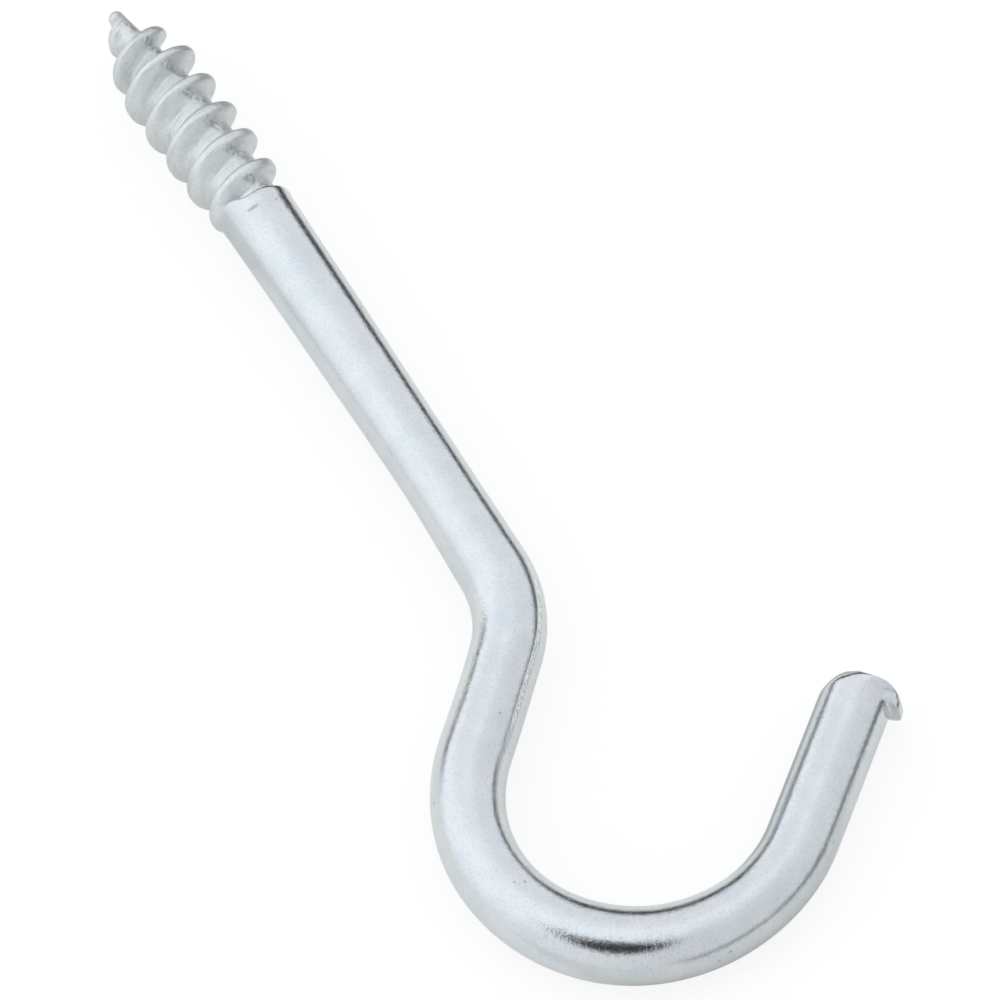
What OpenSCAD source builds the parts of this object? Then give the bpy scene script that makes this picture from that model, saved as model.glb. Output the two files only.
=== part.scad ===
// Screw hook bent from one piece of round wire: a gimlet-pointed wood thread, a plain shank,
// a crank that brings the bowl in line with the shank, and a leg that ends in a sheared lip.
// It lies flat on a surface at Z = 0, with the shank along X and the thread at the -X end.

/* [Wire] */
// Diameter of the wire in the bends and the leg
wire_d = 7.2; // [6.4:0.1:8]
// Diameter of the shank where it meets the thread
shoulder_d = 7.6; // [7:0.1:8.4]

/* [Shank] */
// Length of the plain shank, from the thread's shoulder to the crank
shank_l = 48.4; // [20:0.1:90]
// Width of the bevel on the shoulder
shoulder_bevel = 0.35; // [0.1:0.05:0.45]

/* [Crank and bowl] */
// Centre-line radius of the crank
crank_r = 12.2; // [8:0.1:16]
// Angle that the crank turns away from the shank
crank_a = 46; // [35:1:55]
// Centre-line radius of the bowl
bowl_r = 16.5; // [14:0.1:24]
// Angle that the bowl turns back through
bowl_a = 176; // [150:1:195]

/* [Leg and tip] */
// Length of the straight leg, from the bowl to its cut end
leg_l = 17.5; // [9:0.1:26]
// Radius that the shears rolled onto the inner side of the cut end
roll_r = 4; // [3:0.1:5]
// How far the sheared lip stands out of the leg's outer side
lip_out = 1.3; // [0.5:0.1:1.8]
// Thickness of the sheared lip
lip_t = 2.4; // [1.6:0.1:3]

/* [Thread] */
// Length of the thread, from the shoulder to the point
thread_l = 27.8; // [22:0.1:36]
// Distance between turns
pitch = 4; // [3.4:0.1:4.6]
// Diameter over the crest
crest_d = 9.05; // [8.6:0.05:10]
// Diameter of the core between turns
root_d = 6.1; // [5.4:0.1:6.4]
// Width of the crest's flat
crest_w = 0.5; // [0.3:0.1:0.7]
// Width of the flank that faces the point
point_flank_w = 1.1; // [0.9:0.1:1.2]
// Width of the flank that faces the shank
shank_flank_w = 1.5; // [1.2:0.1:1.5]
// How far ahead of the shoulder the last crest passes the leg's side of the hook
last_crest = 3.1; // [2.2:0.1:4]
// Sideways lean of the thread against the shank, in degrees
lean_a = 1.5; // [0:0.5:3]

/* [Point] */
// Length over which the crest grows to its full diameter
crest_taper_l = 10; // [6:0.5:14]
// Length over which the core grows to its full diameter
core_taper_l = 16; // [10:0.5:18]
// Diameter of the blunt point
point_d = 2; // [1.2:0.1:2.6]
// Length of the rounding on the blunt point
point_round_l = 0.9; // [0.5:0.1:1.5]

/* [Hidden] */
$fn = 96;

wire_r = wire_d / 2;
// The straight lengths reach this far into the bends, a hair thinner than they are
seat_l = 0.3;
seat_gap = 0.015;
straight_d = wire_d - 2 * seat_gap;

// Length of the thread's core inside the shank
tail_l = 1.7;
// Facets of the thread
thread_sides = 32;
rings_per_turn = 13;
thread_rings = ceil((thread_l + tail_l) / pitch * rings_per_turn);
// Fullness of the core's taper: above 1 leaves a slim nub at the point
core_taper_curve = 1.4;
// Share of the point's diameter that stays flat
point_flat = 0.5;

// The run between the bends puts the bowl's centre in line with the shank
run_l = (bowl_r * cos(crank_a) - crank_r * (1 - cos(crank_a))) / sin(crank_a);
bowl_x = shank_l + (crank_r + bowl_r) * sin(crank_a) + run_l * cos(crank_a);
bowl_bottom_x = bowl_x + bowl_r;
leg_a = bowl_a - crank_a;

// The rolled side leaves the leg at a slight angle
roll_runout = 0.1;
roll_y = wire_r + roll_runout - roll_r;

// Box of the hook in its own plane, with the shoulder at the origin
lip_r = lip_t / 2;
leg_end_y = -bowl_r * cos(leg_a) + leg_l * sin(leg_a);
lip_y = leg_end_y - lip_r * sin(leg_a) - (wire_r + lip_out - lip_r) * cos(leg_a) + lip_r;
mid_x = (bowl_bottom_x + wire_r - thread_l) / 2;
mid_y = (lip_y - bowl_r - wire_r) / 2;

// The hook rests on the underside of the last full crest and on the bottom of the bowl
rest_crest_x = -last_crest - pitch / 4;
lie_a = asin((crest_d - wire_d) / 2 / (bowl_bottom_x - rest_crest_x));
lift = wire_r / cos(lie_a) + bowl_bottom_x * sin(lie_a);

function clamp01(v) = max(0, min(1, v));
function ease(v) = clamp01(v) * clamp01(v) * (3 - 2 * clamp01(v));
function blend(a, b, v) = a + (b - a) * clamp01(v);

// Radius of the core at a distance from the point
function core_taper(u) = pow(sin(90 * clamp01(u / core_taper_l)), core_taper_curve);
function point_round(u) = blend(point_flat, 1, sin(90 * clamp01(u / point_round_l)));
function core_r(u) = blend(point_d, root_d, core_taper(u)) / 2 * point_round(u);

// Radius of the crest: it grows behind the point and sinks to the core over the last turn
function crest_r(u) = u < thread_l + tail_l - pitch
    ? crest_d / 2 * sin(90 * clamp01(u / crest_taper_l))
    : blend(root_d / 2, crest_d / 2, (thread_l + tail_l - u) / pitch);

// Height of the ridge, 0 to 1, at an axial distance from its crest
function ridge(dx) = dx < 0
    ? ease(1 - (-dx - crest_w / 2) / point_flank_w)
    : ease(1 - (dx - crest_w / 2) / shank_flank_w);

// Axial distance from the nearest crest of a right-hand thread
function turns(x, a) = (x + last_crest) / pitch - a / 360;
function crest_dx(x, a) = (turns(x, a) - round(turns(x, a))) * pitch;

function thread_r(x, a) = core_r(x + thread_l)
    + max(0, crest_r(x + thread_l) - core_r(x + thread_l)) * ridge(crest_dx(x, a));

// Points of the thread's skin round one place on its axis
function thread_ring(x) = [for (j = [0 : thread_sides - 1])
    let (a = 360 * j / thread_sides, r = thread_r(x, a))
    [x, r * cos(a), r * sin(a)]];

// Index of side j on ring i, counted round past the last side
function at(i, j) = i * thread_sides + j % thread_sides;

// Straight wire along X from one place to another
module straight(from, to, d1, d2) {
    translate([from, 0, 0])
        rotate([0, 90, 0])
            cylinder(d1 = d1, d2 = d2, h = to - from);
}

// Wire bent to the left by a positive angle and to the right by a negative one,
// with what follows it at its far end
module bend(r, a) {
    side = sign(a);
    translate([0, side * r, 0]) {
        rotate([0, 0, side > 0 ? -90 : 90 + a])
            rotate_extrude(angle = abs(a))
                translate([r, 0])
                    circle(d = wire_d);
        rotate([0, 0, a])
            translate([0, -side * r, 0])
                children();
    }
}

// Leg with its inner side rolled over at the cut end
module leg() {
    intersection() {
        straight(-seat_l, leg_l + seat_l, straight_d, straight_d);
        linear_extrude(2 * wire_d, center = true) {
            translate([-leg_l, -wire_d])
                square([2 * leg_l, wire_d + roll_y]);
            translate([-leg_l, -wire_d])
                square([2 * leg_l - roll_r, 2 * wire_d]);
            translate([leg_l - roll_r, roll_y])
                circle(r = roll_r);
        }
    }
}

// Lip of metal that the shears pushed past the leg's outer side
module lip() {
    intersection() {
        translate([leg_l - lip_t, -lip_out, 0])
            rotate([0, 90, 0])
                rotate_extrude() {
                    square([wire_r - lip_r, lip_t]);
                    intersection() {
                        translate([wire_r - lip_r, lip_r])
                            circle(r = lip_r);
                        square([wire_r, lip_t]);
                    }
                }
        translate([leg_l - 2 * lip_t, -2 * wire_d, -wire_d])
            cube([3 * lip_t, 2 * wire_d, 2 * wire_d]);
    }
}

// Shank with a bevel at the thread's shoulder
module shank() {
    straight(0, shoulder_bevel, shoulder_d - 2 * shoulder_bevel, shoulder_d);
    straight(shoulder_bevel, shank_l + seat_l, shoulder_d, straight_d);
}

module wire() {
    shank();
    translate([shank_l, 0, 0])
        bend(crank_r, -crank_a) {
            straight(-seat_l, run_l + seat_l, straight_d, straight_d);
            translate([run_l, 0, 0])
                bend(bowl_r, bowl_a) {
                    leg();
                    lip();
                }
        }
}

// Core, ridge and gimlet point as one closed skin of rings
module thread() {
    last = thread_rings;
    points = [for (i = [0 : last]) each thread_ring(blend(-thread_l, tail_l, i / last))];
    skin = [for (i = [0 : last - 1], j = [0 : thread_sides - 1], half = [0, 1])
        half == 0
            ? [at(i, j), at(i + 1, j + 1), at(i, j + 1)]
            : [at(i, j), at(i + 1, j), at(i + 1, j + 1)]];
    point_cap = [[for (j = [0 : thread_sides - 1]) at(0, j)]];
    tail_cap = [[for (j = [thread_sides - 1 : -1 : 0]) at(last, j)]];
    rotate([0, 0, lean_a])
        polyhedron(points, concat(skin, point_cap, tail_cap), convexity = 10);
}

module screw_hook() {
    color("gainsboro")
        translate([-mid_x, -mid_y, lift])
            rotate([0, lie_a, 0])
                union() {
                    wire();
                    thread();
                }
}

screw_hook();
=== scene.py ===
"""Looks of a zinc-plated screw hook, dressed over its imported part.

The hook is one piece of bent wire, so one dense skin stands for its solid: the rolled wood thread
with its gimlet point, the shoulder, the drawn shank, the crank, the bowl and the sheared tip.
Sizes are in millimetres in the hook's own plane, with the shoulder at the origin, the shank along
+X and the leg on the +Y side. The lying pose then puts them in the row's frame, in metres.
"""

import logging
import math
from dataclasses import dataclass, field
from enum import Enum

import bpy
import numpy as np
from mathutils import Matrix, Vector

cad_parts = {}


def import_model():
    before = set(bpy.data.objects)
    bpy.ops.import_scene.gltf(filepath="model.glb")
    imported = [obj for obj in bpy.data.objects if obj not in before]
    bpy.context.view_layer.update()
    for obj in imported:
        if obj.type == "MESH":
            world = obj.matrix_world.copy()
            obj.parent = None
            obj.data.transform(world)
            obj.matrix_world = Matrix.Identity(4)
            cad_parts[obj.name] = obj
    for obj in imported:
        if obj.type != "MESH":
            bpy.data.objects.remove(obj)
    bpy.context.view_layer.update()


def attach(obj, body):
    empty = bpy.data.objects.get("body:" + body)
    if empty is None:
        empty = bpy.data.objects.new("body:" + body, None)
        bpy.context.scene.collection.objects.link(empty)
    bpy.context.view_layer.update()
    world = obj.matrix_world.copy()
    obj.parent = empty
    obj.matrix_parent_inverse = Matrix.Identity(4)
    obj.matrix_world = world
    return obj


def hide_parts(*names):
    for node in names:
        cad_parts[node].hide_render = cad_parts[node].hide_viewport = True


LOG = logging.getLogger("screw_hook")
MM = 0.001
WIRE_MAP = "wire"

Array = np.ndarray
Socket = bpy.types.NodeSocket
Span = tuple[float, float]
Pairs = tuple[Span, ...]
Triple = tuple[float, float, float]
Step = tuple[float, float, float, float]
Colour = tuple[float, float, float, float]
Patch = tuple[float, float, float, float, float, float]


class Bend(Enum):
    """Side that the wire is bent to, seen from above and going from the thread to the tip."""

    STRAIGHT = 0
    LEFT = 1
    RIGHT = -1


class Slot(Enum):
    """Material slots of the part's record."""

    ZINC = "zinc_plate"


def smooth(value: Array, low: float, high: float) -> Array:
    """Eased share, from 0 at the low value to 1 at the high value."""
    share = np.clip((value - low) / (high - low), 0.0, 1.0)
    return share * share * (3.0 - 2.0 * share)


def soft_max(first: Array, second: Array, width: float) -> Array:
    """Larger of two values, with a fillet of some width where they cross."""
    gap = np.clip(0.5 + 0.5 * (first - second) / width, 0.0, 1.0)
    return second + (first - second) * gap + width * gap * (1.0 - gap)


def quarter_round(share: Array) -> Array:
    """Height of a quarter circle, from 0 to 1, at shares of its width."""
    return np.sqrt(1.0 - (1.0 - np.clip(share, 0.0, 1.0)) ** 2)


@dataclass
class Stretch:
    """One straight or bent length of the wire's centre line.

    Attributes:
        bend: Side that it is bent to.
        length: Length of a straight, or centre-line radius of a bend.
        angle: Angle that a bend turns through, in degrees.
    """

    bend: Bend
    length: float
    angle: float = 0.0

    @property
    def run(self) -> float:
        """Length along the centre line."""
        return self.length if self.bend is Bend.STRAIGHT else self.length * math.radians(self.angle)

    def walk(self, along: Array, start: Array, heading: float) -> tuple[Array, Array]:
        """Follows the centre line of this stretch.

        Args:
            along: Distances from its start.
            start: Place where it starts, in the plane.
            heading: Direction in which it starts, in radians.

        Returns:
            The places, one row each, and the headings there.
        """
        if self.bend is Bend.STRAIGHT:
            step = np.array([math.cos(heading), math.sin(heading)])
            return start + along[:, None] * step, np.full_like(along, heading)
        side = self.bend.value
        turned = heading + side * along / self.length
        centre = start + side * self.length * np.array([-math.sin(heading), math.cos(heading)])
        rim = side * self.length * np.stack([np.sin(turned), -np.cos(turned)], axis=1)
        return centre + rim, turned


@dataclass
class DrawnWire:
    """How the bent wire departs from a true round of even size.

    Attributes:
        round_r: Nominal radius, and the most that the wire stands up or down in its bends.
        gauge: Pairs of a distance from the shoulder and the wire's width there, against the nominal.
        drift: Pairs of a distance from the shoulder and the shift to the left there.
        even: Distance to each side over which the pairs are averaged.
        even_steps: Number of values in each average.
    """

    round_r: float = 3.6
    gauge: Pairs = (
        (0.0, 1.07), (10.0, 1.031), (20.0, 1.0), (30.0, 0.958), (38.0, 0.946), (46.0, 0.994),
        (51.0, 1.022), (62.0, 0.985), (67.0, 1.015), (76.0, 1.01), (86.0, 1.015), (92.0, 1.05),
        (97.0, 1.075), (104.0, 1.035), (112.0, 0.98), (119.0, 0.988), (133.0, 0.98),
    )
    drift: Pairs = (
        (0.0, -0.18), (16.0, 0.0), (36.0, 0.13), (44.0, 0.0), (50.0, -0.17), (56.0, -0.12),
        (62.0, 0.07), (68.0, 0.07), (73.0, 0.02), (79.0, -0.17), (86.0, -0.25), (93.0, -0.22),
        (100.0, -0.15), (107.0, 0.0), (113.0, 0.04), (121.0, -0.03), (133.0, 0.0),
    )
    even: float = 3.0
    even_steps: int = 13

    def width(self, along: Array) -> Array:
        """Half the wire's width in the plane of the hook."""
        return self.round_r * self.read(self.gauge, along)

    def shift(self, along: Array) -> Array:
        """Shift of the wire's middle to the left."""
        return self.read(self.drift, along)

    def read(self, pairs: Pairs, along: Array) -> Array:
        """Reads a smooth curve through pairs.

        Args:
            pairs: Pairs of a distance and a value.
            along: Distances to read at.

        Returns:
            The values, averaged over a short length so that no kink shows.
        """
        places, values = np.array(pairs).T
        offsets = np.linspace(-self.even, self.even, self.even_steps)
        return np.mean([np.interp(along + offset, places, values) for offset in offsets], axis=0)


@dataclass
class WoodThread:
    """Rolled wood thread that ends in a gimlet point, with its tip on the -X side."""

    length: float = 27.95
    pitch: float = 4.0
    crest_r: float = 4.57
    root_r: float = 3.05
    crest_w: float = 0.4
    point_flank_w: float = 1.1
    shank_flank_w: float = 1.5
    last_crest: float = 3.1
    lean_deg: float = 2.05
    aside: float = -0.24
    bow: float = 0.1
    bow_span: Span = (6.0, 24.0)
    crest_start: float = 1.62
    crest_rise: float = 0.33
    crest_fillet: float = 0.4
    ridge: Span = (1.3, 3.7)
    core_taper: float = 16.0
    core_curve: float = 1.4
    point_r: float = 0.75
    point_round: float = 0.7
    fade_from: float = 6.5
    fade: float = 26.0
    run_out: Span = (-0.9, 0.3)
    wobble_r: float = 0.012
    wobble_from: float = -20.0
    wobble_x: float = 0.05

    def core(self, u: Array) -> Array:
        """Radius of the core at distances from the point."""
        taper = np.sin(0.5 * math.pi * np.clip(u / self.core_taper, 0.0, 1.0)) ** self.core_curve
        return (self.point_r + (self.root_r - self.point_r) * taper) * quarter_round(u / self.point_round)

    def crest(self, x: Array) -> Array:
        """Radius of the crest, which grows behind the point and fades at the shoulder.

        Args:
            x: Places along the axis, 0 at the shoulder.

        Returns:
            The radius at each place.
        """
        u = np.clip(x + self.length, 0.0, None)
        rising = self.crest_start + self.crest_rise * u
        grown = -soft_max(-rising, np.full_like(u, -self.crest_r), self.crest_fillet)
        kept = 1.0 - np.clip((x + self.fade_from) / self.fade, 0.0, 1.0)
        kept = kept * (1.0 - smooth(x, *self.run_out))
        return self.root_r + (grown - self.root_r) * kept

    def radius(self, x: Array, angle: Array) -> Array:
        """Radius of the thread's skin.

        Args:
            x: Places along the axis, 0 at the shoulder.
            angle: Angles about the axis, in radians, 0 on the leg's side.

        Returns:
            The radius at each place and angle.
        """
        turn = (x + self.last_crest) / self.pitch - angle / (2.0 * math.pi)
        sway = np.sin(4.1 * turn + 0.4) + 0.6 * np.sin(11.3 * turn + 2.0) + 0.4 * np.sin(29.0 * turn)
        turn = turn + self.wobble_x / self.pitch * sway
        offset = (turn - np.round(turn)) * self.pitch
        flank = np.where(offset < 0.0, self.point_flank_w, self.shank_flank_w)
        ridge = smooth(1.0 - (np.abs(offset) - 0.5 * self.crest_w) / flank, 0.0, 1.0)
        ridge = ridge * smooth(x + self.length - offset, *self.ridge)
        lumps = np.sin(5.0 * angle + 1.7 * x) * np.sin(2.3 * x + 0.8) + 0.7 * np.sin(9.0 * angle - 2.9 * x)
        core = self.core(x + self.length)
        height = np.clip(self.crest(x) - core, 0.0, None)
        uneven = self.wobble_r * lumps * smooth(x, -self.length, self.wobble_from)
        return core + height * ridge * (1.0 + uneven)


@dataclass
class ShearedTip:
    """Cut end of the leg: rolled over on its inner side, with a narrow lip drawn out on its outer side.

    Attributes:
        roll_r: Radius that the shears rolled onto the inner side.
        roll_from: Start of the roll, to the outer side of the leg's middle.
        roll_stop: Share of that radius at which the roll stops.
        bulge: Fall of the cut end up and down, per square of the height.
        hang: Fall of the lip, per square of the distance past its start.
        hang_from: Where the lip starts to hang, from the leg's middle.
        reach: Length of the leg that the shears drew out of shape.
        reach_curve: Power of that.
        rim_r: Rounding of the rim on the outer side.
        inner_rim_r: Rounding of the rim on the inner side.
        inner_cos: Cosines of the angle about the leg between which it changes.
        longer: How much further the inner side reaches than the outer side.
        longer_span: Distances to the inner side between which the leg grows by that.
        nose_r: Radius of the lip seen along the leg.
        nose_off: Distance of the lip's middle from the leg's middle.
        brow: Push of the whole cut end to the outer side.
        brow_l: Length of the leg over which that push fades.
        lip_t: Thickness of the lip at the leg.
        lip_rise: Length over which the lip's back rises out of the leg.
        lip_edge: Length over which the lip's front is rounded.
    """

    roll_r: float = 4.0
    roll_from: float = 0.2
    roll_stop: float = 0.985
    bulge: float = 0.02
    hang: float = 0.184
    hang_from: float = 2.2
    reach: float = 7.0
    reach_curve: float = 1.5
    rim_r: float = 0.15
    inner_rim_r: float = 2.4
    inner_cos: Span = (-0.4, 0.5)
    longer: float = 0.95
    longer_span: Span = (-1.2, 2.2)
    nose_r: float = 2.42
    nose_off: float = 2.36
    brow: float = 0.85
    brow_l: float = 1.5
    lip_t: float = 2.34
    lip_rise: float = 0.8
    lip_edge: float = 0.8

    def lip(self, back: Array, angle: Array, wire_r: float) -> Array:
        """How far the lip stands out of the leg.

        Args:
            back: Distances back from the cut end.
            angle: Angles about the leg, in radians, 0 on its inner side.
            wire_r: Radius of the leg.

        Returns:
            The extra radius at each place.
        """
        nose = self.nose_r**2 - (self.nose_off * np.sin(angle)) ** 2
        rim = np.where(nose > 0.0, -self.nose_off * np.cos(angle) + np.sqrt(np.clip(nose, 0.0, None)), 0.0)
        under = 1.0 - smooth(back, self.lip_t - self.lip_rise, self.lip_t)
        front = 0.5 + 0.5 * quarter_round(back / self.lip_edge)
        lip = np.clip(rim - wire_r, 0.0, None) * under * front
        pushed = np.sqrt(wire_r**2 - (self.brow * np.sin(angle)) ** 2) - self.brow * np.cos(angle) - wire_r
        return np.maximum(lip, np.clip(pushed, 0.0, None) * (1.0 - smooth(back, 0.0, self.brow_l)))

    def rounding(self, back: Array, angle: Array) -> Array:
        """Radius that the rounded rim loses at distances back from the cut end and angles."""
        rim = self.rim_r + (self.inner_rim_r - self.rim_r) * smooth(np.cos(angle), *self.inner_cos)
        return rim * (1.0 - quarter_round(back / rim))

    def warp(self, along: Array, across: Array, up: Array, leg_l: float) -> Array:
        """Draws the skin back where it is rolled over, on the shorter outer side and where the lip hangs.

        Args:
            along: Distances along the leg.
            across: Distances to the leg's inner side.
            up: Heights above the leg's middle.
            leg_l: Length of the leg.

        Returns:
            The new distances along the leg.
        """
        inward = np.clip(across + self.roll_from, 0.0, self.roll_stop * self.roll_r)
        rolled = self.roll_r - np.sqrt(self.roll_r**2 - inward**2)
        hung = self.hang * np.clip(-across - self.hang_from, 0.0, None) ** 2
        shorter = self.longer * (1.0 - smooth(across, *self.longer_span))
        share = np.clip((along - leg_l + self.reach) / self.reach, 0.0, 1.0) ** self.reach_curve
        return along - (rolled + hung + shorter + self.bulge * up**2) * share


@dataclass
class LyingPose:
    """How the hook lies: on the underside of its last full crest and on the bottom of its bowl."""

    tilt_deg: float = 0.54573
    mid_x: float = 34.40815
    mid_y: float = 3.28542
    lift: float = 4.48611

    def place(self, points: Array) -> Array:
        """Puts points of the hook's own plane in the row's frame.

        Args:
            points: Points in millimetres, one row each.

        Returns:
            The points in metres.
        """
        tilt = math.radians(self.tilt_deg)
        x, y, z = points.T
        lain = np.stack(
            [
                x * math.cos(tilt) + z * math.sin(tilt) - self.mid_x,
                y - self.mid_y,
                z * math.cos(tilt) - x * math.sin(tilt) + self.lift,
            ],
            axis=1,
        )
        return lain * MM


class NodeBench:
    """Adds and joins shader nodes in one node tree."""

    def __init__(self, tree: bpy.types.NodeTree) -> None:
        """Takes and clears the node tree of a material or a world."""
        self.tree = tree
        tree.nodes.clear()

    def add(self, kind: str, **settings: object) -> bpy.types.Node:
        """Adds a node.

        Args:
            kind: Blender's name of the node type.
            **settings: Properties of the node.

        Returns:
            The new node.
        """
        node = self.tree.nodes.new(kind)
        for name, value in settings.items():
            setattr(node, name, value)
        return node

    def join(self, source: object, socket: Socket) -> None:
        """Feeds a socket from another socket, or sets it to a plain value.

        Args:
            source: Socket or value.
            socket: Socket to feed.
        """
        if isinstance(source, Socket):
            self.tree.links.new(source, socket)
        else:
            socket.default_value = source

    def made(self, kind: str, feeds: dict, output: int | str, **settings: object) -> Socket:
        """Adds a node and feeds it.

        Args:
            kind: Blender's name of the node type.
            feeds: Socket or value for each input that is fed.
            output: The output that is wanted.
            **settings: Properties of the node.

        Returns:
            The output's socket.
        """
        node = self.add(kind, **settings)
        for name, source in feeds.items():
            self.join(source, node.inputs[name])
        return node.outputs[output]

    def math(self, operation: str, first: object, second: object = 0.0) -> Socket:
        """One step of arithmetic with sockets or numbers."""
        return self.made("ShaderNodeMath", {0: first, 1: second}, 0, operation=operation)

    def times(self, first: object, second: object) -> Socket:
        """Product of sockets or numbers."""
        return self.math("MULTIPLY", first, second)

    def ease(self, value: Socket, low: float, high: float, start: float = 0.0, end: float = 1.0) -> Socket:
        """Eased change from one result to another.

        Args:
            value: Socket to look at.
            low: Value at which the result leaves its start.
            high: Value at which the result reaches its end.
            start: Result at and below the low value.
            end: Result at and above the high value.

        Returns:
            The result's socket.
        """
        feeds = {"Value": value, "From Min": low, "From Max": high, "To Min": start, "To Max": end}
        return self.made("ShaderNodeMapRange", feeds, "Result", interpolation_type="SMOOTHSTEP")

    def between(self, value: Socket, span: Span, fade: float) -> Socket:
        """Whether a value lies in a span, 1 inside and 0 outside, with soft ends."""
        rise = self.ease(value, span[0] - fade, span[0] + fade)
        return self.times(rise, self.ease(value, span[1] - fade, span[1] + fade, 1.0, 0.0))

    def towards(self, vector: Socket, direction: Vector) -> Socket:
        """Distance of a place along a fixed direction, or cosine of a ray to it."""
        return self.made("ShaderNodeVectorMath", {0: vector, 1: direction}, "Value", operation="DOT_PRODUCT")

    def noise(self, vector: Socket, scale: float, detail: float, rough: float) -> Socket:
        """Cloudy noise, about 0.5 on average, with finer layers of some detail and roughness."""
        feeds = {"Vector": vector, "Scale": scale, "Detail": detail, "Roughness": rough}
        return self.made("ShaderNodeTexNoise", feeds, "Fac")

    def stretched(self, vector: Socket, scale: Triple) -> Socket:
        """Place scaled by its own amount along each axis."""
        return self.made("ShaderNodeMapping", {"Vector": vector, "Scale": scale}, "Vector")

    def tint(self, share: object, first: object, second: object) -> Socket:
        """Colour between two colours."""
        feeds = {"Factor": share, "A": first, "B": second}
        return self.made("ShaderNodeMix", feeds, "Result", data_type="RGBA")

    def bump(self, height: Socket, distance: float, strength: float, below: Socket | None = None) -> Socket:
        """Surface tilted by a height.

        Args:
            height: Height's socket.
            distance: Height of 1, in metres.
            strength: Share of the tilt that is kept.
            below: Normal of another bump to add to.

        Returns:
            The normal's socket.
        """
        feeds = {"Strength": strength, "Distance": distance, "Height": height}
        if below is not None:
            feeds["Normal"] = below
        return self.made("ShaderNodeBump", feeds, "Normal")


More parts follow.
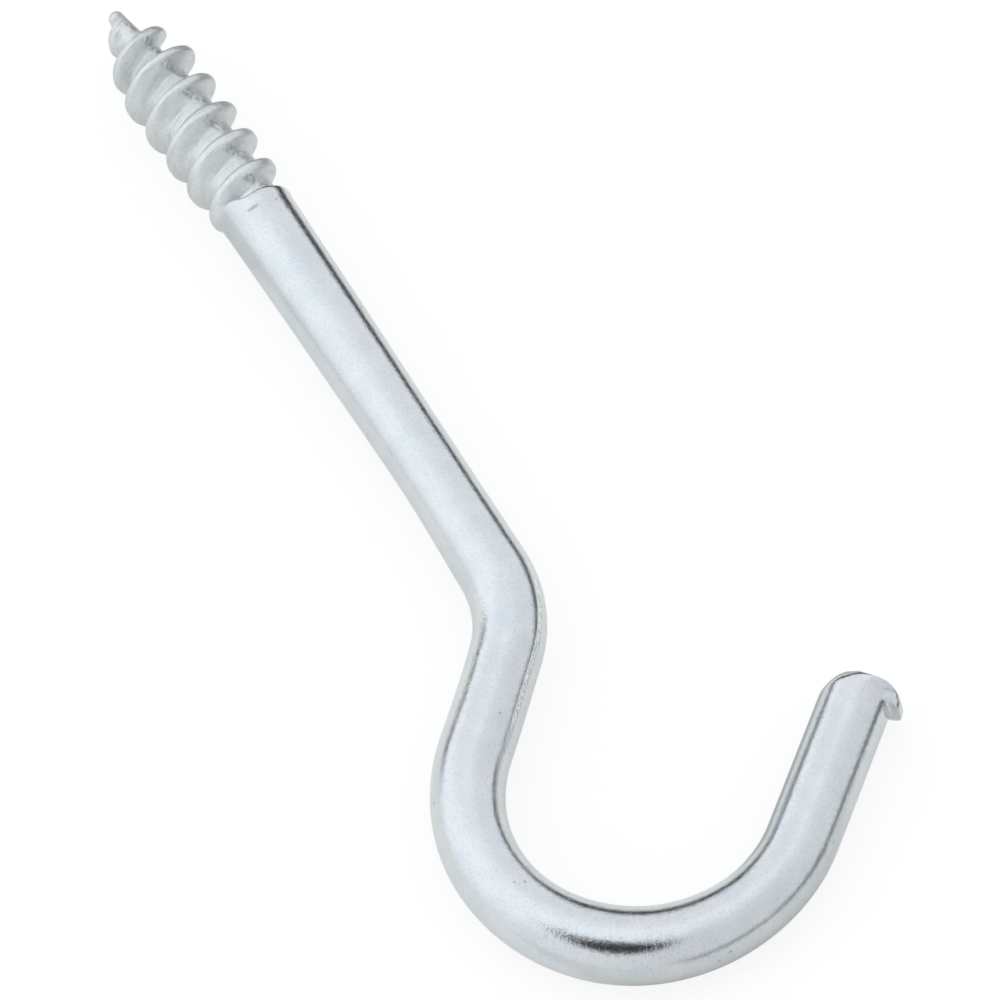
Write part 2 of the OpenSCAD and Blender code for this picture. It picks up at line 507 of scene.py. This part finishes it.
@dataclass(frozen=True)
class ZincPlate:
    """Bright zinc plating: finely speckled on the drawn wire, satin on the rolled thread.

    A Triple of a noise is its scale, detail and roughness. A Step is two noise values and what changes
    from and to between them, a share only the two values. A relief is a bump's height and strength.

    Attributes:
        pale: Colour of its clear patches.
        cool: Colour of its bluish patches.
        lilac: Colour of its purplish patches.
        pit: Colour of its pits.
        glint: Colour of the painted glints in the bending marks, near white so that they shine as
            highlights.
        satin: Colour of the thread.
        sheen: Roughness on the wire.
        thread_sheen: Roughness that the thread adds.
        streak: Noise of the thread's streaks across its turns, per millimetre.
        streak_long: Its fineness along the turns, as a share of that.
        root_phase: Distance from the point at which a crest passes the leg's side.
        pitch: Distance between turns.
        girth: Distance once round the wire.
        stain_phases: Shares of the pitch behind a crest between which the thread is stained.
        stain_side: Place round the wire of the stains at a crest.
        stain_slope: How far that place moves back over one pitch.
        thread_end: Places between which the thread ends, in the row's frame.
        crank_marks: Distances from the point between which the bending left marks and the painted glints
            lie.
        inner_marks: Places round the wire of the marks and their painted glints on the crank's inner side.
        outer_marks: Places round the wire of the marks and their painted glints on its outer side.
        nick: Place along and round the wire of a nick near the shoulder.
    """

    pale: Colour = (0.70, 0.73, 0.745, 1.0)
    cool: Colour = (0.645, 0.70, 0.73, 1.0)
    lilac: Colour = (0.675, 0.695, 0.73, 1.0)
    glint: Colour = (0.97, 0.98, 0.98, 1.0)
    satin: Colour = (0.78, 0.81, 0.805, 1.0)
    satin_depth: float = 0.75
    pit: Colour = (0.36, 0.37, 0.38, 1.0)
    clouds: Triple = (420.0, 3.0, 0.5)
    clouds_share: Span = (0.35, 0.68)
    patches: Triple = (170.0, 2.0, 0.5)
    patches_share: Span = (0.38, 0.62)
    speckle: Triple = (3600.0, 3.0, 0.6)
    speckle_dark: Step = (0.47, 0.75, 0.0, 0.22)
    speckle_relief: Span = (0.00004, 0.4)
    grain: Triple = (1500.0, 2.0, 0.5)
    grain_relief: Span = (0.00005, 0.3)
    dents: Triple = (800.0, 4.0, 0.65)
    dents_relief: Span = (0.0002, 0.6)
    lines: Triple = (6.0, 3.0, 0.5)
    lines_stretch: Triple = (0.05, 9.0, 1.0)
    lines_relief: Span = (0.00003, 0.12)
    sheen: Step = (0.35, 0.65, 0.11, 0.18)
    thread_sheen: float = 0.33
    pit_sheen: float = 0.2
    streak: Triple = (2.4, 3.0, 0.6)
    streak_long: float = 0.1
    streak_dark: Step = (0.5, 0.72, 0.0, 0.3)
    streak_relief: Span = (0.0001, 0.4)
    root_phase: float = 24.85
    pitch: float = 4.0
    girth: float = 22.6
    stain: Triple = (2300.0, 2.0, 0.5)
    stain_dark: Step = (0.42, 0.56, 0.0, 0.65)
    stain_phases: Span = (0.13, 0.6)
    stain_fade: float = 0.06
    stain_side: float = 5.9
    stain_slope: float = 4.4
    stain_edge: Span = (0.2, 0.9)
    thread_end: Span = (-0.0348, -0.0342)
    crank_marks: Span = (77.6, 95.6)
    inner_marks: Span = (1.75, 2.3)
    outer_marks: Span = (7.9, 9.3)
    outer_depth: float = 0.4
    mark_fades: Triple = (3.0, 0.15, 0.4)
    mark_relief: Span = (0.00008, 0.6)
    # Painted glints: speckle values between which the marks take the near-white glint colour.
    glint_share: Span = (0.46, 0.56)
    nick: Span = (29.9, 6.5)
    nick_half: Span = (0.16, 0.55)
    nick_fade: Span = (0.14, 0.3)
    nick_share: Span = (0.3, 0.42)
    pit_scale: float = 700.0
    pit_edge: Span = (0.05, 0.16)
    pit_group: Triple = (310.0, 1.0, 0.5)
    pit_share: Span = (0.56, 0.66)
    pit_depth: float = 0.8
    pit_relief: Span = (0.00004, 0.4)

    def material(self) -> bpy.types.Material:
        """Makes the plating.

        Returns:
            The material.
        """
        material = bpy.data.materials.new(Slot.ZINC.value)
        material.use_nodes = True
        bench = NodeBench(material.node_tree)
        place = bench.add("ShaderNodeTexCoord").outputs["Object"]
        wire = bench.add("ShaderNodeUVMap", uv_map=WIRE_MAP).outputs["UV"]
        noises = (self.clouds, self.patches, self.speckle, self.grain, self.dents, self.stain)
        clouds, patches, speckle, grain, dents, stain = (bench.noise(place, *noise) for noise in noises)
        lines = bench.noise(bench.stretched(wire, self.lines_stretch), *self.lines)
        ahead = bench.towards(place, Vector((1.0, 0.0, 0.0)))
        rolled = bench.ease(ahead, *self.thread_end, 1.0, 0.0)
        parts = bench.add("ShaderNodeSeparateXYZ")
        bench.join(wire, parts.inputs["Vector"])
        along, turn = parts.outputs["X"], parts.outputs["Y"]
        marks = self.marks(bench, along, turn)
        streaks = bench.times(self.streaks(bench, along, turn), rolled)
        stains = self.stains(bench, along, turn, bench.times(rolled, stain))
        pits = bench.times(self.pits(bench, place), bench.math("SUBTRACT", 1.0, rolled))
        pits = bench.math("MAXIMUM", pits, self.nicked(bench, along, turn, dents))

        colour = bench.tint(bench.ease(patches, *self.patches_share), self.cool, self.lilac)
        colour = bench.tint(bench.ease(clouds, *self.clouds_share), colour, self.pale)
        colour = bench.tint(bench.times(rolled, self.satin_depth), colour, self.satin)
        dark = bench.times(pits, self.pit_depth)
        specks = bench.ease(speckle, *self.speckle_dark)
        for other in (stains, specks, bench.ease(streaks, *self.streak_dark)):
            dark = bench.math("MAXIMUM", dark, other)
        colour = bench.tint(dark, colour, self.pit)
        # Painted glints: speckled spots in the crank's marks are tinted near white so that they shine as
        # highlights.
        colour = bench.tint(bench.times(marks, bench.ease(speckle, *self.glint_share)), colour, self.glint)

        rough = bench.ease(speckle, *self.sheen)
        rough = bench.math("ADD", rough, bench.times(pits, self.pit_sheen))
        rough = bench.math("ADD", rough, bench.times(rolled, self.thread_sheen))

        normal = bench.bump(grain, *self.grain_relief)
        normal = bench.bump(speckle, *self.speckle_relief, normal)
        normal = bench.bump(lines, *self.lines_relief, normal)
        normal = bench.bump(bench.math("SUBTRACT", 1.0, pits), *self.pit_relief, normal)
        normal = bench.bump(bench.times(dents, rolled), *self.dents_relief, normal)
        normal = bench.bump(streaks, *self.streak_relief, normal)
        normal = bench.bump(bench.times(speckle, marks), *self.mark_relief, normal)

        feeds = {"Metallic": 1.0, "Base Color": colour, "Roughness": rough, "Normal": normal}
        shader = bench.made("ShaderNodeBsdfPrincipled", feeds, "BSDF")
        bench.join(shader, bench.add("ShaderNodeOutputMaterial").inputs["Surface"])
        return material

    def marks(self, bench: NodeBench, along: Socket, turn: Socket) -> Socket:
        """Where the bending tool marked the crank, which is also where the painted glints go.

        Args:
            bench: Bench of the material.
            along: Distance along the wire.
            turn: Distance round the wire.

        Returns:
            The marks' socket, 1 where the marks and their painted glints are.
        """
        length_fade, inner_fade, outer_fade = self.mark_fades
        length = bench.between(along, self.crank_marks, length_fade)
        inner = bench.between(turn, self.inner_marks, inner_fade)
        outer = bench.times(bench.between(turn, self.outer_marks, outer_fade), self.outer_depth)
        return bench.times(length, bench.math("MAXIMUM", inner, outer))

    def streaks(self, bench: NodeBench, along: Socket, turn: Socket) -> Socket:
        """Fine lines that the rolling left along the turns of the thread.

        Args:
            bench: Bench of the material.
            along: Distance along the wire.
            turn: Distance round the wire.

        Returns:
            The lines' noise.
        """
        climb = bench.times(turn, self.pitch / self.girth)
        feeds = {"X": bench.math("SUBTRACT", along, climb), "Y": bench.times(turn, self.streak_long)}
        return bench.noise(bench.made("ShaderNodeCombineXYZ", feeds, "Vector"), *self.streak)

    def stains(self, bench: NodeBench, along: Socket, turn: Socket, noise: Socket) -> Socket:
        """Dark ragged marks in the thread's roots.

        Args:
            bench: Bench of the material.
            along: Distance along the wire.
            turn: Distance round the wire.
            noise: Noise that makes the marks ragged, 0 off the thread.

        Returns:
            The marks' socket, highest where they are darkest.
        """
        turns = bench.math("DIVIDE", bench.math("SUBTRACT", along, self.root_phase), self.pitch)
        phase = bench.math("FRACT", bench.math("SUBTRACT", turns, bench.math("DIVIDE", turn, self.girth)))
        line = bench.math("SUBTRACT", self.stain_side, bench.times(phase, self.stain_slope))
        off = bench.math("ABSOLUTE", bench.math("SUBTRACT", turn, line))
        near = bench.ease(off, *self.stain_edge, 1.0, 0.0)
        inside = bench.times(near, bench.between(phase, self.stain_phases, self.stain_fade))
        return bench.times(inside, bench.ease(noise, *self.stain_dark))

    def nicked(self, bench: NodeBench, along: Socket, turn: Socket, dents: Socket) -> Socket:
        """Ragged nick beside the shoulder.

        Args:
            bench: Bench of the material.
            along: Distance along the wire.
            turn: Distance round the wire.
            dents: Noise that makes the nick ragged.

        Returns:
            The nick's socket, 1 in the nick.
        """
        inside = bench.ease(dents, *self.nick_share)
        for value, middle, half, fade in zip((along, turn), self.nick, self.nick_half, self.nick_fade):
            inside = bench.times(inside, bench.between(value, (middle - half, middle + half), fade))
        return inside

    def pits(self, bench: NodeBench, place: Socket) -> Socket:
        """Small scattered pits.

        Args:
            bench: Bench of the material.
            place: Place to look at.

        Returns:
            The pits' socket, 1 in a pit.
        """
        feeds = {"Vector": place, "Scale": self.pit_scale}
        middle = bench.made("ShaderNodeTexVoronoi", feeds, "Distance", feature="F1")
        near = bench.ease(middle, *self.pit_edge, 1.0, 0.0)
        some = bench.ease(bench.noise(place, *self.pit_group), *self.pit_share)
        return bench.times(near, some)


@dataclass(frozen=True)
class WhiteSheet:
    """White paper under the hook, bright to the eye and in the metal, with a faint shadow; in the metal it
    also carries painted shade beside the leg, painted glow in places and painted dark past a line.
    """

    seen_albedo: float = 0.2
    seen_glow: float = 0.83
    mirrored: Colour = (0.86, 0.855, 0.82, 1.0)
    mirrored_glow: Span = (0.03, 0.17)
    glow_side: Span = (-0.012, -0.004)
    glow_end: Span = (0.054, 0.062)
    glow_thread: Span = (-0.036, -0.026)
    shade_side: Triple = (-0.766, -0.643, 0.0)
    shade: Span = (-0.043, -0.036)
    shade_fade: float = 0.003
    shade_across: Span = (-0.001, 0.004)
    shade_depth: float = 0.4
    # Painted dark reflection: where the paper's white falls for all but camera rays, though the sheet goes
    # on.
    painted_dark_span: Span = (0.025, 0.034)
    painted_dark_level: float = 0.1
    painted_dark_side: Triple = (-0.3, 0.954, 0.0)

    def material(self) -> bpy.types.Material:
        """Makes the paper.

        Returns:
            The material.
        """
        material = bpy.data.materials.new("white_sheet")
        material.use_nodes = True
        bench = NodeBench(material.node_tree)
        path = bench.add("ShaderNodeLightPath")
        mirrored = bench.math("MAXIMUM", path.outputs["Is Glossy Ray"], path.outputs["Is Transmission Ray"])
        place = bench.add("ShaderNodeTexCoord").outputs["Object"]
        # Painted dark reflection: for all but camera rays the paper's white falls to a low level past a
        # line, so the metal mirrors a dark band there.
        outward = bench.towards(place, Vector(self.painted_dark_side))
        white = bench.ease(outward, *self.painted_dark_span, 1.0, self.painted_dark_level)
        across = bench.towards(place, Vector((0.0, 1.0, 0.0)))
        ahead = bench.towards(place, Vector((1.0, 0.0, 0.0)))
        # Painted shade: a band of the paper beside the leg is darkened for all but camera rays, so the metal
        # mirrors shade there.
        inward = bench.towards(place, Vector(self.shade_side))
        start, stop = self.shade
        shade = bench.ease(inward, start - self.shade_fade, start)
        shade = bench.times(shade, bench.ease(across, *self.shade_across))
        shade = bench.times(shade, bench.ease(inward, stop, stop + self.shade_fade, 1.0, 0.0))
        white = bench.times(white, bench.ease(shade, 0.0, 1.0, 1.0, 1.0 - self.shade_depth))
        # Painted light: the glow that the metal sees on the paper is low beside the thread's point on the
        # side away from the leg and past the bowl's end, and higher elsewhere.
        side = bench.ease(across, *self.glow_side)
        side = bench.math("MAXIMUM", side, bench.ease(ahead, *self.glow_thread))
        end = bench.ease(ahead, *self.glow_end, 1.0, 0.0)
        glow = bench.ease(bench.times(side, end), 0.0, 1.0, *self.mirrored_glow)
        glow = bench.times(bench.times(mirrored, glow), white)
        seen = self.lit(bench, (self.seen_albedo, self.seen_albedo, self.seen_albedo, 1.0), self.seen_glow)
        shown = self.lit(bench, bench.tint(white, (0.0, 0.0, 0.0, 1.0), self.mirrored), glow)
        feeds = {"Fac": path.outputs["Is Camera Ray"], 1: shown, 2: seen}
        mix = bench.made("ShaderNodeMixShader", feeds, "Shader")
        bench.join(mix, bench.add("ShaderNodeOutputMaterial").inputs["Surface"])
        return material

    def lit(self, bench: NodeBench, colour: object, glow: object) -> Socket:
        """Paper that takes a shadow and glows a little.

        Args:
            bench: Bench of the material.
            colour: Colour of the paper.
            glow: Light that it adds.

        Returns:
            The shader's socket.
        """
        paper = bench.made("ShaderNodeBsdfDiffuse", {"Color": colour}, "BSDF")
        light = bench.made("ShaderNodeEmission", {"Strength": glow}, "Emission")
        return bench.made("ShaderNodeAddShader", {0: paper, 1: light}, "Shader")


@dataclass
class ScrewHook:
    """The whole hook as one skin of rings, from the gimlet point to the sheared tip."""

    thread: WoodThread = field(default_factory=WoodThread)
    tip: ShearedTip = field(default_factory=ShearedTip)
    pose: LyingPose = field(default_factory=LyingPose)
    finish: ZincPlate = field(default_factory=ZincPlate)
    shank_l: float = 48.4
    crank_r: float = 12.2
    crank_deg: float = 46.0
    bowl_r: float = 16.5
    bowl_deg: float = 176.0
    leg_l: float = 18.46
    shoulder_r: float = 3.88
    shoulder_round: float = 0.55
    shoulder_ahead: float = 1.0
    shoulder_cos: Span = (0.2, 0.95)
    shoulder_fillet: float = 0.25
    shoulder_span: Span = (-1.6, 0.9)
    shoulder_step: float = 0.045
    settle: Span = (-1.2, 0.6)
    nose_l: float = 1.0
    nose_rings: int = 14
    thread_step: float = 0.13
    shank_from: float = 1.2
    shank_step: float = 0.8
    bend_step: float = 0.4
    tip_l: float = 9.0
    tip_step: float = 0.15
    lip_margin: float = 0.4
    lip_rings: int = 44
    face_rings: int = 16
    wire: DrawnWire = field(default_factory=DrawnWire)
    sides: int = 112

    def stretches(self) -> list[Stretch]:
        """Straights and bends from the shoulder to the cut end.

        Returns:
            The stretches in their order.
        """
        crank = math.radians(self.crank_deg)
        run = (self.bowl_r * math.cos(crank) - self.crank_r * (1.0 - math.cos(crank))) / math.sin(crank)
        return [
            Stretch(Bend.STRAIGHT, self.shank_l),
            Stretch(Bend.RIGHT, self.crank_r, self.crank_deg),
            Stretch(Bend.STRAIGHT, run),
            Stretch(Bend.LEFT, self.bowl_r, self.bowl_deg),
            Stretch(Bend.STRAIGHT, self.leg_l),
        ]

    def centre_line(self, along: Array) -> tuple[Array, Array]:
        """Places and headings on the wire's centre line.

        Args:
            along: Distances from the shoulder.

        Returns:
            The places, one row each, and the headings, in radians.
        """
        places = np.zeros((len(along), 2))
        headings = np.zeros(len(along))
        start, heading, passed = np.zeros(2), 0.0, 0.0
        for stretch in self.stretches():
            inside = along >= passed
            places[inside], headings[inside] = stretch.walk(along[inside] - passed, start, heading)
            end, turned = stretch.walk(np.array([stretch.run]), start, heading)
            start, heading, passed = end[0], float(turned[0]), passed + stretch.run
        return places, headings

    def angles(self) -> Array:
        """Angles of the skin's sides about the wire, in radians."""
        return np.arange(self.sides) * (2.0 * math.pi / self.sides)

    def shoulder_ring(self, x: Array, angle: Array) -> Array:
        """Radius of the shank near its ragged shoulder.

        Args:
            x: Places along the axis, 0 at the shoulder.
            angle: Angles about the axis, in radians.

        Returns:
            The radius, or 0 ahead of the shoulder.
        """
        ragged = 0.1 * np.sin(angle + 0.6) + 0.08 * np.sin(3.0 * angle + 2.1)
        ragged = ragged + 0.04 * np.sin(8.0 * angle + 0.3)
        behind = x - ragged + self.shoulder_ahead * smooth(-np.cos(angle), *self.shoulder_cos)
        lost = self.shoulder_round * (1.0 - quarter_round(behind / self.shoulder_round))
        return np.where(behind > 0.0, self.shoulder_r - lost, 0.0)

    def thread_places(self) -> Array:
        """Places of the rings from the point to just behind the shoulder.

        Returns:
            The places along the wire, 0 at the shoulder.
        """
        start = -self.thread.length
        lengths = [
            np.linspace(start, start + self.nose_l, self.nose_rings)[1:],
            np.arange(start + (self.nose_l + self.thread_step), self.shoulder_span[0], self.thread_step),
            np.arange(*self.shoulder_span, self.shoulder_step),
        ]
        return np.concatenate(lengths)

    def thread_rings(self) -> Array:
        """Rings from the point to just behind the shoulder.

        Returns:
            The rings, each a row of points.
        """
        x = self.thread_places()[:, None]
        angle = self.angles()[None, :]
        radius = soft_max(self.thread.radius(x, angle), self.shoulder_ring(x, angle), self.shoulder_fillet)
        settled = smooth(x, *self.settle)
        lean = math.radians(self.thread.lean_deg) * (1.0 - settled)
        across = radius * np.cos(angle)
        ring_x = x * np.cos(lean) - across * np.sin(lean)
        aside = self.thread.aside + (self.wire.shift(x) - self.thread.aside) * settled
        start, stop = self.thread.bow_span
        bowed = self.thread.bow * np.sin(math.pi * np.clip((-x - start) / (stop - start), 0.0, 1.0))
        ring_y = x * np.sin(lean) + across * np.cos(lean) + aside - bowed
        return np.stack([ring_x, ring_y, radius * np.sin(angle)], axis=2)

    def wire_l(self) -> float:
        """Length of the wire from the shoulder to the cut end."""
        return sum(stretch.run for stretch in self.stretches())

    def wire_places(self) -> Array:
        """Places of the rings from behind the shoulder to the rim of the cut end.

        Returns:
            The places along the wire, 0 at the shoulder.
        """
        tip_from = self.wire_l() - self.tip_l
        lip_reach = self.tip.lip_t + self.lip_margin
        lip_from = self.wire_l() - lip_reach
        lengths = [
            np.arange(self.shank_from, self.shank_l, self.shank_step),
            np.arange(self.shank_l, tip_from, self.bend_step),
            np.arange(tip_from, lip_from, self.tip_step),
            lip_from + lip_reach * np.sin(np.linspace(0.0, 0.5 * math.pi, self.lip_rings)),
        ]
        return np.concatenate(lengths)

    def wire_rings(self) -> Array:
        """Rings from behind the shoulder to the middle of the cut end.

        Returns:
            The rings, each a row of points.
        """
        along = self.wire_places()[:, None]
        angle = self.angles()[None, :]
        width = self.wire.width(along)
        height = np.where(along < self.shank_l, width, np.minimum(width, self.wire.round_r))
        radius = np.hypot(width * np.cos(angle), height * np.sin(angle))
        back = self.wire_l() - along
        radius = radius + self.tip.lip(back, angle, self.wire.round_r) - self.tip.rounding(back, angle)
        face_along, face_radius = self.end_face(radius[-1])
        along_all = np.concatenate([np.repeat(along, self.sides, axis=1), face_along])
        return self.sweep(along_all, np.concatenate([radius, face_radius]))

    def end_face(self, rim: Array) -> tuple[Array, Array]:
        """Rings over the cut face.

        Args:
            rim: Radius of the last ring of the leg.

        Returns:
            The distances along the wire and the radii, one row per ring.
        """
        share = np.linspace(1.0, 0.0, self.face_rings)[1:-1, None]
        radius = rim[None, :] * share
        return np.full_like(radius, self.wire_l()), radius

    def sweep(self, along: Array, radius: Array) -> Array:
        """Puts rings round the centre line, with the tip's roll and droop.

        Args:
            along: Distances along the wire, one row per ring.
            radius: Radii, one row per ring.

        Returns:
            The rings' points.
        """
        angle = self.angles()[None, :]
        across = radius * np.cos(angle)
        up = radius * np.sin(angle)
        leg_from = self.wire_l() - self.leg_l
        leg_along = along - leg_from
        warped = self.tip.warp(leg_along, across, up, self.leg_l)
        along = np.where(leg_along > 0.0, warped, leg_along) + leg_from
        places, headings = self.centre_line(along.ravel())
        places = places.reshape(*along.shape, 2)
        headings = headings.reshape(along.shape)
        across = across + self.wire.shift(along)
        x = places[..., 0] - across * np.sin(headings)
        y = places[..., 1] + across * np.cos(headings)
        return np.stack([x, y, up], axis=2)

    def build(self) -> bpy.types.Object:
        """Builds the skin and puts it in the row's frame.

        Returns:
            The hook's object.
        """
        rings = np.concatenate([self.thread_rings(), self.wire_rings()])
        count = len(rings)
        lean = math.radians(self.thread.lean_deg)
        axis = np.array([math.cos(lean), math.sin(lean), 0.0])
        point = np.array([0.0, self.thread.aside, 0.0]) - self.thread.length * axis
        end = rings[-1].mean(axis=0)
        points = self.pose.place(np.concatenate([rings.reshape(-1, 3), [point, end]]))

        ring = np.arange(count - 1)[:, None] * self.sides
        after = ring + self.sides
        side = np.arange(self.sides)[None, :]
        onward = (side + 1) % self.sides
        quads = np.stack([ring + side, after + side, after + onward, ring + onward], axis=2)
        last = (count - 1) * self.sides
        faces = [tuple(quad) for quad in quads.reshape(-1, 4).tolist()]
        faces += [(count * self.sides, j, (j + 1) % self.sides) for j in range(self.sides)]
        faces += [(count * self.sides + 1, last + (j + 1) % self.sides, last + j) for j in range(self.sides)]

        mesh = bpy.data.meshes.new("screw_hook_skin")
        mesh.from_pydata(points.tolist(), [], faces)
        mesh.shade_smooth()
        self.mark_wire(mesh, count)
        mesh.update()
        hook = bpy.data.objects.new("hook_skin", mesh)
        bpy.context.scene.collection.objects.link(hook)
        return hook

    def mark_wire(self, mesh: bpy.types.Mesh, count: int) -> None:
        """Gives each corner its distance along the wire and round it, in millimetres.

        Args:
            mesh: The hook's mesh.
            count: Number of rings.
        """
        places = np.full(count, self.wire_l())
        swept = np.concatenate([self.thread_places(), self.wire_places()])
        places[: len(swept)] = swept
        vertex_along = np.concatenate([np.repeat(places, self.sides), [-self.thread.length, self.wire_l()]])
        vertex_along = vertex_along + self.thread.length
        corners = np.empty(len(mesh.loops), dtype=np.int64)
        mesh.loops.foreach_get("vertex_index", corners)
        turn = (corners % self.sides) / self.sides
        sizes = [polygon.loop_total for polygon in mesh.polygons]
        first = np.repeat([polygon.loop_start for polygon in mesh.polygons], sizes)
        turn = np.where((turn < 0.25) & (turn[first] > 0.75), turn + 1.0, turn)
        turn = np.where((turn > 0.75) & (turn[first] < 0.25), turn - 1.0, turn)
        marks = np.stack([vertex_along[corners], turn * self.finish.girth], axis=1)
        layer = mesh.uv_layers.new(name=WIRE_MAP)
        layer.data.foreach_set("uv", marks.astype(np.float32).ravel())

    def dress(self, hook: bpy.types.Object) -> None:
        """Plates the hook and ties it to its solid.

        Args:
            hook: The hook's object.
        """
        hook.data.materials.append(self.finish.material())
        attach(hook, "root")
        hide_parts("screw_hook")


@dataclass
class PhotoCamera:
    """Long lens that looks obliquely down at the lying hook."""

    right_heading: float = 65.9
    tilt_deg: float = 29.9
    roll_deg: float = 6.45
    distance: float = 783.7
    lens: float = 288.0
    target: Triple = (7.46, 1.05, 4.09)

    def direction(self, azimuth: float, elevation: float) -> Vector:
        """Direction in the studio, seen from the hook.

        Args:
            azimuth: Degrees from the camera's side, positive to the picture's right.
            elevation: Degrees above the floor.

        Returns:
            The unit vector.
        """
        turn = math.radians(self.right_heading - 90.0 + azimuth)
        level = math.cos(math.radians(elevation))
        return Vector((level * math.cos(turn), level * math.sin(turn), math.sin(math.radians(elevation))))

    def build(self) -> None:
        """Sets the camera up and makes it the scene's own."""
        back = self.direction(0.0, 90.0 - self.tilt_deg)
        level = self.direction(90.0, 0.0)
        upright = back.cross(level)
        roll = math.radians(self.roll_deg)
        right = level * math.cos(roll) - upright * math.sin(roll)
        up = level * math.sin(roll) + upright * math.cos(roll)
        lens = bpy.data.cameras.new("photo_camera")
        lens.lens = self.lens
        lens.sensor_width = 36.0
        lens.clip_start = 0.01
        camera = bpy.data.objects.new("photo_camera", lens)
        bpy.context.scene.collection.objects.link(camera)
        turned = Matrix((right, up, back)).transposed().to_4x4()
        place = (Vector(self.target) + back * self.distance) * MM
        camera.matrix_world = Matrix.Translation(place) @ turned
        bpy.context.scene.camera = camera


@dataclass
class Studio:
    """White studio: a sheet below, soft light all round, a dark gap low at the right and behind.

    A Patch is an azimuth and an elevation in degrees, the cosines to that direction between which a
    value changes, and what it changes from and to.

    The patches bright, dim and behind scale the light. The hatch is a small dark square overhead.
    The gap's patches give its height, what is added to that behind, half its width, what is added
    to that at the left, and its depth. It fades out over gap_soft, in half widths.
    """

    camera: PhotoCamera
    sheet: WhiteSheet = field(default_factory=WhiteSheet)
    sheet_r: float = 0.6
    sheet_z: float = -0.00002
    sheet_sides: int = 96
    sky: Colour = (0.98, 1.0, 1.03, 1.0)
    bright: Patch = (-125.0, 50.0, 0.5, 0.95, 0.98, 1.2)
    dim: Patch = (40.0, 15.0, 0.0, 1.0, 1.0, 0.84)
    behind: Patch = (-168.0, 42.0, 0.85, 0.985, 1.0, 0.86)
    hatch: Patch = (-22.0, 61.0, 0.953, 0.963, 0.0, 0.95)
    gap_height: Patch = (122.0, 0.0, 0.75, 0.92, 0.02, -0.06)
    gap_rise: Patch = (180.0, 0.0, 0.87, 0.97, 0.0, 0.12)
    gap_half: Patch = (150.0, 0.0, 0.4, 0.95, 0.062, 0.148)
    gap_left: Patch = (-137.0, 0.0, 0.75, 0.97, 0.0, 0.06)
    gap_depth: Patch = (122.0, 0.0, -0.5, -0.22, 0.0, 0.97)
    gap_soft: Span = (0.75, 1.25)

    def build(self) -> None:
        """Builds the sheet and the light."""
        self.lay_sheet()
        self.light()

    def lay_sheet(self) -> None:
        """Lays the white sheet on the floor."""
        turns = [2.0 * math.pi * k / self.sheet_sides for k in range(self.sheet_sides)]
        rim = [(self.sheet_r * math.cos(t), self.sheet_r * math.sin(t), self.sheet_z) for t in turns]
        mesh = bpy.data.meshes.new("white_sheet")
        mesh.from_pydata(rim, [], [tuple(range(self.sheet_sides))])
        mesh.materials.append(self.sheet.material())
        sheet = bpy.data.objects.new("white_sheet", mesh)
        bpy.context.scene.collection.objects.link(sheet)

    def value(self, bench: NodeBench, ray: Socket, patch: Patch) -> Socket:
        """Value of a patch for a ray."""
        azimuth, elevation, *change = patch
        return bench.ease(bench.towards(ray, self.camera.direction(azimuth, elevation)), *change)

    def light(self) -> None:
        """Lights the studio: white to the eye, and with its bright and dark parts to the metal."""
        world = bpy.data.worlds.new("studio")
        world.use_nodes = True
        bpy.context.scene.world = world
        bench = NodeBench(world.node_tree)
        ray = bench.add("ShaderNodeTexCoord").outputs["Generated"]
        patches = (self.gap_height, self.gap_rise, self.gap_half, self.gap_left, self.gap_depth)
        height, rise, half, left, depth = (self.value(bench, ray, patch) for patch in patches)
        above = bench.towards(ray, self.camera.direction(0.0, 90.0))
        level = bench.math("SUBTRACT", above, bench.math("ADD", height, rise))
        off = bench.math("DIVIDE", bench.math("ABSOLUTE", level), bench.math("ADD", half, left))
        gap = bench.times(bench.ease(off, *self.gap_soft, 1.0, 0.0), depth)

        patches = (self.bright, self.dim, self.behind, self.hatch)
        bright, dim, behind, hatch = (self.value(bench, ray, patch) for patch in patches)
        open_light = bench.times(bench.math("SUBTRACT", 1.0, gap), bench.math("SUBTRACT", 1.0, hatch))
        light = bench.times(bench.times(bright, bench.times(dim, behind)), open_light)
        lit = bench.made("ShaderNodeBackground", {"Color": self.sky, "Strength": light}, "Background")
        seen = bench.made("ShaderNodeBackground", {"Color": (1.0, 1.0, 1.0, 1.0)}, "Background")
        feeds = {"Fac": bench.add("ShaderNodeLightPath").outputs["Is Camera Ray"], 1: lit, 2: seen}
        mix = bench.made("ShaderNodeMixShader", feeds, "Shader")
        bench.join(mix, bench.add("ShaderNodeOutputWorld").inputs["Surface"])


def main() -> None:
    """Loads the part, builds the hook, the studio and the camera."""
    logging.basicConfig(level=logging.INFO, format="%(name)s: %(message)s")
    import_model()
    bpy.context.scene.view_settings.view_transform = "Standard"
    camera = PhotoCamera()
    camera.build()
    LOG.info("camera %.1f mm from the hook", camera.distance)
    Studio(camera).build()
    LOG.info("white sheet and studio light")
    screw_hook = ScrewHook()
    hook = screw_hook.build()
    screw_hook.dress(hook)
    LOG.info("%s: %d faces", hook.name, len(hook.data.polygons))


if __name__ == "__main__":
    main()
